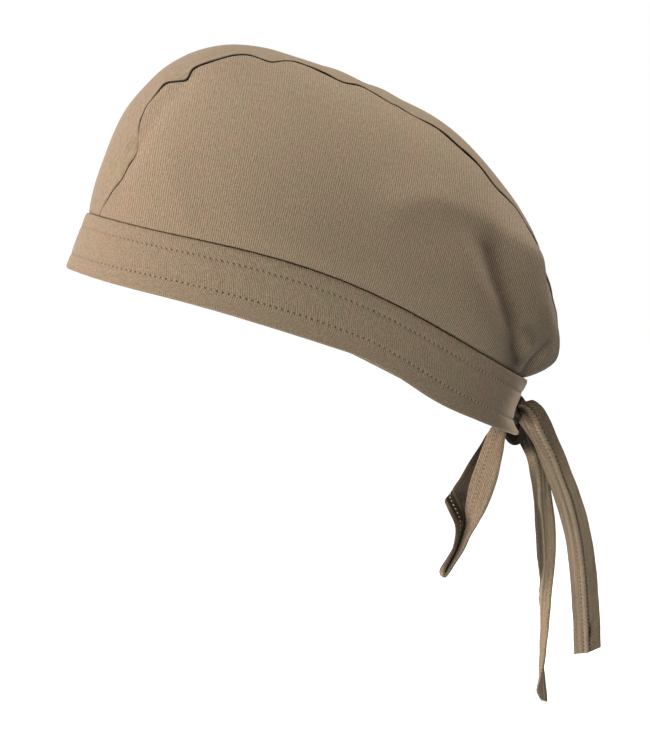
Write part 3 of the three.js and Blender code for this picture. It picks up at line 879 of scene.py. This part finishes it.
def loopShade(aside, along):  # painted shade on its far limb, its tip, the hollow where it turns, its near limb
    far = (0.88 - 0.3 * smoothStep(along, 16, 30)) * (1 - smoothStep(along, 44, 50))
    tip = smoothStep(along, 44, 50) * (1 - smoothStep(along, 74, 80))
    hollow = smoothStep(along, 28, 31) * (1 - smoothStep(along, 52, 60))
    hollow = hollow * smoothStep(aside, -4.6, -3.8) * (1 - smoothStep(aside, -0.4, 0.4))
    dark = np.maximum(halfBow["tipShade"] * tip, halfBow["hollowShade"] * hollow)
    return np.maximum(far, dark) + halfBow["nearShade"] * smoothStep(along, 76, 84)


def loopThreads(aside, along):
    dark = smoothStep(along, 28, 31) * (1 - smoothStep(along, 60, 72))
    return 0.02 + 0.98 * dark + 0.28 * smoothStep(along, 66, 74)


def loopRow(along):  # the row runs nearer one edge where the loop turns back
    return 0.2 - 2.4 * (smoothStep(along, 24, 28) - smoothStep(along, 60, 70))


tailOuter = makeTape("tieTailOuter", tieShapes["tailOuter"], seed=outerTail["seed"],
                     folds=outerFolds, shade=outerShade, worn=outerPaintedLight,
                     stitches=outerTail["stitches"])
tailInner = makeTape("tieTailInner", tieShapes["tailInner"], seed=innerTail["seed"],
                     stitchRows=innerTail["stitchRows"], shade=innerShade, worn=innerPaintedHighlight,
                     stitches=innerTail["stitches"])
loop = makeTape("tieLoop", tieShapes["loop"], seed=halfBow["seed"], seam=halfBow["seam"],
                stitchRows=loopRow, shade=loopShade, threads=loopThreads)

knot = {
    "centre": (0.0, 101.4, -31.8),
    "high": 9.4,
    "deep": 4.2,
    "wide": 8.6,
    "thick": 3.2,
    "pleats": 0.45,
    "rows": 26,
    "length": 50.0,
    "heartWide": 3.4,
    "heartHigh": 10.6,
}


def knotRing():  # the strap that wraps the knot
    turn = np.linspace(0, 2 * math.pi, 140, endpoint=False)
    share = np.linspace(-1, 1, knot["rows"])[:, None]
    x = share * knot["wide"] / 2 * (1 + 0.12 * np.cos(turn * 2 + 1))[None, :]
    pleat = knot["pleats"] * np.cos(share * 8.5) + 0.2 * np.cos(share * 19 + 1)
    curl = -0.9 * share ** 4
    layers = []
    for lift in (knot["thick"] / 2, -knot["thick"] / 2):
        y = knot["centre"][1] + (knot["deep"] + lift + pleat + curl) * np.cos(turn)
        z = knot["centre"][2] + (knot["high"] + lift + pleat + curl) * np.sin(turn)
        layers.append(np.stack([x + knot["centre"][0], y, z], -1))
    grid = np.concatenate([layers[0], layers[1][::-1]])
    grid = np.concatenate([grid, grid[:, :1]], axis=1)
    shape = grid.shape[:2]
    places = np.broadcast_to(np.concatenate([share, share[::-1]]) * knot["wide"] / 2, shape)
    along = np.broadcast_to(np.linspace(0, knot["length"], shape[1]), shape)
    # painted shade over the wrap, darker toward one edge
    paintedShade = 0.88 + 0.09 * smoothStep(places, 1.5, 3.6)
    paintedShade[knot["rows"]:] = 0.97  # painted shade inside
    ring = makeCloth("tieKnot", grid, paintedShade, np.stack([places, along], -1), closed=True)
    stitchFloats(ring, shape, fromRow=np.abs(np.abs(places) - 2.2), alongRow=along,
                 stitchShow=1, threadShow=0.9, worn=0)
    joined = bmesh.new()
    joined.from_mesh(ring.data)
    bmesh.ops.remove_doubles(joined, verts=joined.verts, dist=1e-7)
    joined.to_mesh(ring.data)
    joined.free()
    return ring


def knotHeart():  # the bundle that the wrap holds
    turn = np.linspace(0, 2 * math.pi, 49)
    rise = np.linspace(-1, 1, 25)[:, None]
    around = np.sqrt(np.clip(1 - rise**2, 0.0004, 1))
    crease = 1 + 0.08 * np.cos(turn * 5 + rise * 2)
    x = knot["centre"][0] - 0.4 + knot["heartWide"] * around * crease * np.cos(turn)
    y = knot["centre"][1] + knot["heartWide"] * around * crease * np.sin(turn)
    z = knot["centre"][2] + 0.6 + knot["heartHigh"] * rise + 0 * turn
    grid = np.stack([x, y, z], -1)
    shape = grid.shape[:2]
    # painted shade over the whole heart
    heart = makeCloth("tieKnotHeart", grid, np.full(shape, tape["shade"]))
    stitchFloats(heart, shape, fromRow=5, alongRow=0, stitchShow=0, threadShow=0, worn=0)
    return heart


ring = knotRing()
heart = knotHeart()
strapStations = [  # from the left end of the band to the knot
    ((19, 95.2, -33.4), (19.2, 96, -28.3), (19, 95.4, -23.4)),
    ((14.6, 97.2, -33.8), (14.8, 98, -28.6), (14.6, 97.4, -23.6)),
    ((9.4, 99.4, -33.4), (9.6, 100.4, -29.6), (9.4, 99.2, -25.6)),
    ((6, 100.6, -33.6), (6, 102, -30.2), (6, 100.4, -26.6)),
    ((2, 101.2, -34), (2, 102.6, -30.8), (2, 101, -27.4)),
]
mirrored = [tuple((-x, y, z) for x, y, z in row[::-1]) for row in strapStations]
straps = [
    # painted shade over the whole strap
    makeTape("tieLeft", strapStations, step=0.5, seed=32.0, shade=tape["shade"]),
    makeTape("tieRight", mirrored, step=0.5, seed=30.0, shade=tape["shade"]),
]
print("ties made")


twill = {
    "panelLean": math.radians(6),
    "bandLean": math.radians(20.9),
    "tieLean": math.radians(-40),
    "dark": (0.25, 0.178, 0.108, 1),
    "yellower": (0.365, 0.283, 0.178, 1),
    "redder": (0.395, 0.273, 0.182, 1),
    # colour of the painted light
    "worn": (0.98, 0.75, 0.55, 1),
    # colour of the painted shade
    "paintedShade": (0.02, 0.013, 0.008, 1),
    "thread": (0.7, 0.56, 0.42, 1),
    # colour of painted shade in the stitch holes
    "holeShade": (0.075, 0.05, 0.028, 1),
    "holeLong": 0.78,
    "holeHigh": 0.42,
    "stitchSlant": 0.7,
    "grooveShade": 0.25,  # painted shade along a stitch row
    "wander": 0.8,  # the weave is never quite straight
    "ribScale": 0.314,  # one rib to a millimetre
    "bumpHigh": 0.2,
    "roughness": 0.92,
    "sheen": 0.12,
    "shine": 0.15,
}


def newMaterial(name, sockets):
    material = bpy.data.materials.new(name)
    material.use_nodes = True
    shader = material.node_tree.nodes["Principled BSDF"]
    for socket, value in sockets.items():
        shader.inputs[socket].default_value = value
    return material, material.node_tree, shader


def addNode(tree, kind, **settings):
    node = tree.nodes.new("ShaderNode" + kind)
    for name, value in settings.items():
        if name in node.inputs:
            node.inputs[name].default_value = value
        else:
            setattr(node, name, value)
    return node


def plug(tree, socket, value):  # a number, a colour or another node's output
    if isinstance(value, (int, float, tuple)):
        socket.default_value = value
    else:
        tree.links.new(value, socket)


def mathNode(tree, operation, first, second=None, clamp=False):
    node = addNode(tree, "Math", operation=operation, use_clamp=clamp)
    plug(tree, node.inputs[0], first)
    if second is not None:
        plug(tree, node.inputs[1], second)
    return node.outputs[0]


def product(tree, first, *others):
    for other in others:
        first = mathNode(tree, "MULTIPLY", first, other)
    return first


def readFloat(tree, name):
    return addNode(tree, "Attribute", attribute_name=name).outputs["Fac"]


def scaledPlace(tree, source, scale, lean=0.0):
    node = addNode(tree, "Mapping", Scale=scale, Rotation=(0, 0, -lean))
    tree.links.new(source, node.inputs["Vector"])
    return node.outputs[0]


def vectorMath(tree, operation, first, second=None, scale=None):
    node = addNode(tree, "VectorMath", operation=operation)
    plug(tree, node.inputs[0], first)
    if second is not None:
        plug(tree, node.inputs[1], second)
    if scale is not None:
        plug(tree, node.inputs["Scale"], scale)
    return node.outputs[0]


def fade(tree, value, low, high):  # 1 below low, 0 above high
    node = addNode(tree, "MapRange", interpolation_type="SMOOTHSTEP")
    for name, limit in (("From Min", low), ("From Max", high), ("To Min", 1), ("To Max", 0)):
        node.inputs[name].default_value = limit
    tree.links.new(value, node.inputs["Value"])
    return node.outputs[0]


def mixColour(tree, share, first, second):
    node = addNode(tree, "Mix", data_type="RGBA")
    for index, value in ((0, share), (6, first), (7, second)):
        plug(tree, node.inputs[index], value)
    return node.outputs[2]


def stitchMasks(tree, pitch):
    fromRow, alongRow = readFloat(tree, "fromRow"), readFloat(tree, "alongRow")
    slanted = mathNode(tree, "ADD", alongRow, product(tree, fromRow, twill["stitchSlant"]))
    turns = mathNode(tree, "FRACT", mathNode(tree, "DIVIDE", slanted, pitch))
    fromMiddle = mathNode(tree, "ABSOLUTE", mathNode(tree, "SUBTRACT", turns, 0.5))
    toHole = product(tree, mathNode(tree, "SUBTRACT", 0.5, fromMiddle), pitch)
    away = mathNode(tree, "ABSOLUTE", fromRow)
    across = mathNode(tree, "POWER", mathNode(tree, "DIVIDE", toHole, twill["holeLong"]), 2.0)
    upward = mathNode(tree, "POWER", mathNode(tree, "DIVIDE", away, twill["holeHigh"]), 2.0)
    holeShade = fade(tree, mathNode(tree, "ADD", across, upward), 0.3, 1.2)
    between = mathNode(tree, "SUBTRACT", 1.0, fade(tree, toHole, 0.4, 0.6))
    thread = product(tree, fade(tree, away, 0.18, 0.4), between)
    return holeShade, thread, fade(tree, away, 0.1, 1.0)


def noiseShare(tree, place, amount, scale, stretch=None, detail=3.0):
    # noise about zero, times amount
    if stretch:
        place = scaledPlace(tree, place, stretch)
    texture = addNode(tree, "TexNoise", Scale=scale, Detail=detail, Roughness=0.65)
    tree.links.new(place, texture.inputs["Vector"])
    return product(tree, mathNode(tree, "SUBTRACT", texture.outputs["Fac"], 0.5), amount)


def weave(tree, place, ribs, spacing):  # the ribs of the twill, about zero
    wander = addNode(tree, "TexNoise", Scale=0.14, Detail=1.0)
    tree.links.new(place, wander.inputs["Vector"])
    centred = vectorMath(tree, "SUBTRACT", wander.outputs["Color"], (0.5, 0.5, 0.5))
    moved = vectorMath(tree, "ADD", place, vectorMath(tree, "SCALE", centred, scale=twill["wander"]))
    wave = addNode(tree, "TexWave", Scale=twill["ribScale"] / spacing, Distortion=2.0, Detail=2.0)
    wave.inputs["Detail Scale"].default_value = 2.0
    tree.links.new(moved, wave.inputs["Vector"])
    rib = mathNode(tree, "SUBTRACT", wave.outputs["Fac"], 0.5)
    return product(tree, rib, ribs, readFloat(tree, "ribShow"))


def stitchColour(tree, colour, place, pitch, paintedShade):
    holeShade, thread, groove = stitchMasks(tree, pitch)
    shown = readFloat(tree, "stitchShow")
    uneven = mathNode(tree, "ADD", noiseShare(tree, place, 1.2, 0.35, None, 2.0), 0.75)
    grooved = product(tree, groove, product(tree, shown, twill["grooveShade"]))
    holed = mathNode(tree, "MULTIPLY", holeShade, product(tree, shown, uneven), True)
    threaded = product(tree, thread, readFloat(tree, "threadShow"))
    # painted light on the band's end and on the tie facets
    colour = mixColour(tree, readFloat(tree, "worn"), colour, twill["worn"])
    # painted shade along the stitch rows and in the stitch holes
    colour = mixColour(tree, grooved, colour, twill["dark"])
    colour = mixColour(tree, holed, colour, twill["holeShade"])
    colour = mixColour(tree, paintedShade, colour, twill["paintedShade"])
    return mixColour(tree, threaded, colour, twill["thread"])


def twillMaterial(name, lean, ribs, grain, pitch=None, spacing=0.89, streaks=0.0):
    material, tree, shader = newMaterial(name, {
        "Roughness": twill["roughness"], "Sheen Weight": twill["sheen"],
        "Specular IOR Level": twill["shine"]})
    flat = addNode(tree, "UVMap", uv_map="cloth").outputs[0]
    inMillimetres = (1 / mm,) * 3
    place = scaledPlace(tree, flat, inMillimetres, lean)
    fleck = noiseShare(tree, place, grain, 1.3)
    slub = noiseShare(tree, place, grain * 0.6, 1.0, (1.2, 0.45, 1))
    grained = mathNode(tree, "ADD", fleck, slub)
    relief = mathNode(tree, "ADD", weave(tree, place, ribs, spacing), grained)
    brightness = mathNode(tree, "ADD", relief, 1.0)
    if streaks:  # painted light and shade of lengthwise creases of a turned tape
        straight = scaledPlace(tree, flat, inMillimetres)
        crease = noiseShare(tree, straight, streaks, 1.0, (0.75, 0.03, 1), 2.0)
        brightness = mathNode(tree, "ADD", brightness, crease)
    # slow patches of slightly yellower and slightly redder cloth
    patches = mathNode(tree, "ADD", noiseShare(tree, place, 2.6, 0.09, None, 2.0), 0.5, True)
    tone = mixColour(tree, patches, twill["yellower"], twill["redder"])
    colour = vectorMath(tree, "SCALE", tone, scale=brightness)
    # painted shade, mixed toward near black
    paintedShade = readFloat(tree, "paintedShade")
    if pitch:
        colour = stitchColour(tree, colour, place, pitch, paintedShade)
    else:
        colour = mixColour(tree, paintedShade, colour, twill["paintedShade"])
    tree.links.new(colour, shader.inputs["Base Color"])
    bump = addNode(tree, "Bump", Strength=0.5, Distance=twill["bumpHigh"] * mm)
    tree.links.new(relief, bump.inputs["Height"])
    tree.links.new(bump.outputs[0], shader.inputs["Normal"])
    return material


sideTwill = twillMaterial("sideTwill", twill["panelLean"], 0.64, 1.05)
stripTwill = twillMaterial("stripTwill", 0, 0.16, 0.85)
bandTwill = twillMaterial("bandTwill", twill["bandLean"], 0.54, 1.3, band["pitch"], 0.93)
tieTwill = twillMaterial("tieTwill", twill["tieLean"], 0.36, 1.4, tape["pitch"], 0.92, 0.75)


def dress(piece, material, nodes):
    piece.data.materials.append(material)
    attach(piece, "root")
    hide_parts(*nodes)


dress(centre, stripTwill, ["centre_panel"])
dress(sides[0], sideTwill, ["side_panel_left"])
dress(sides[1], sideTwill, ["side_panel_right"])
dress(bandPiece, bandTwill, ["band"])
dress(tailOuter, tieTwill, ["tie_tail_outer"])
dress(tailInner, tieTwill, ["tie_tail_inner"])
dress(loop, tieTwill, ["tie_loop"])
dress(ring, tieTwill, ["tie_knot"])
heart.data.materials.append(tieTwill)
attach(heart, "root")
for strap, name in zip(straps, ("tie_left", "tie_right")):
    dress(strap, tieTwill, [name])


studio = {
    "azimuth": 84.0,
    "elevation": 3.0,
    "distance": 1.5,
    "aside": 0.0168,
    "below": 0.0099,
    "lens": 165.93,
    "floorDrop": 0.12,
    "floorReach": 6,
    "lightDistance": 1.8,
    "lightSize": 1.0,
    "softLight": 0.05,
    "white": (1, 1, 1, 1),
}
lamps = [  # name, azimuth, elevation, power, colour
    ("key", -96, 0, 26.5, (1, 0.863, 0.832)),
    ("low", -45, -25, 20.5, (0.95, 1, 1)),
    ("back", 60, 35, 11, (1, 1, 1)),
    ("over", 0, 88, 22.2, (1, 1, 1)),
    ("far", 180, 20, 6, (1, 1, 1)),
]


def placeCamera():
    a, e = math.radians(studio["azimuth"]), math.radians(studio["elevation"])
    onward = Vector((-math.sin(a) * math.cos(e), math.cos(a) * math.cos(e), -math.sin(e)))
    rightward = Vector((math.cos(a), math.sin(a), 0))
    upward = rightward.cross(onward)
    target = rightward * studio["aside"] - upward * studio["below"]
    data = bpy.data.cameras.new("camera")
    data.lens = studio["lens"]
    data.clip_start = 0.05
    camera = bpy.data.objects.new("camera", data)
    camera.location = target - onward * studio["distance"]
    camera.rotation_mode = "QUATERNION"
    camera.rotation_quaternion = onward.to_track_quat("-Z", "Y")
    addToScene(camera)
    bpy.context.scene.camera = camera


def areaLight(name, azimuth, elevation, power, colour):
    data = bpy.data.lights.new(name, "AREA")
    data.shape = "DISK"
    data.size = studio["lightSize"]
    data.energy = power
    data.color = colour
    lamp = bpy.data.objects.new(name, data)
    a, e = math.radians(azimuth), math.radians(elevation)
    place = Vector((math.cos(a) * math.cos(e), math.sin(a) * math.cos(e), math.sin(e)))
    place = place * studio["lightDistance"]
    lamp.location = place
    lamp.rotation_mode = "QUATERNION"
    lamp.rotation_quaternion = (-place).to_track_quat("-Z", "Y")
    addToScene(lamp)


def makeFloor():
    low = cadBox[0][2] - studio["floorDrop"]
    reach = studio["floorReach"]
    corners = [(x * reach, y * reach, low) for x, y in ((-1, -1), (1, -1), (1, 1), (-1, 1))]
    mesh = bpy.data.meshes.new("floor")
    mesh.from_pydata(corners, [], [(0, 1, 2, 3)])
    floor = bpy.data.objects.new("floor", mesh)
    addToScene(floor)
    paint = {"Base Color": (0.9, 0.9, 0.9, 1), "Roughness": 0.9,
             "Emission Color": studio["white"], "Emission Strength": 1.0}
    mesh.materials.append(newMaterial("palePaint", paint)[0])
    floor.visible_diffuse = False
    floor.visible_shadow = False


def makeWorld():  # white where the camera sees it, dim as a light
    world = bpy.data.worlds.new("studio")
    bpy.context.scene.world = world
    world.use_nodes = True
    tree = world.node_tree
    soft = tree.nodes["Background"]
    seen = tree.nodes.new("ShaderNodeBackground")
    for sky, strength in ((soft, studio["softLight"]), (seen, 1.0)):
        sky.inputs["Color"].default_value = studio["white"]
        sky.inputs["Strength"].default_value = strength
    rays = tree.nodes.new("ShaderNodeLightPath")
    mix = tree.nodes.new("ShaderNodeMixShader")
    tree.links.new(rays.outputs["Is Camera Ray"], mix.inputs[0])
    tree.links.new(soft.outputs[0], mix.inputs[1])
    tree.links.new(seen.outputs[0], mix.inputs[2])
    tree.links.new(mix.outputs[0], tree.nodes["World Output"].inputs["Surface"])


placeCamera()
makeFloor()
makeWorld()
for lamp in lamps:
    areaLight(*lamp)
scene = bpy.context.scene
scene.view_settings.view_transform = "Standard"
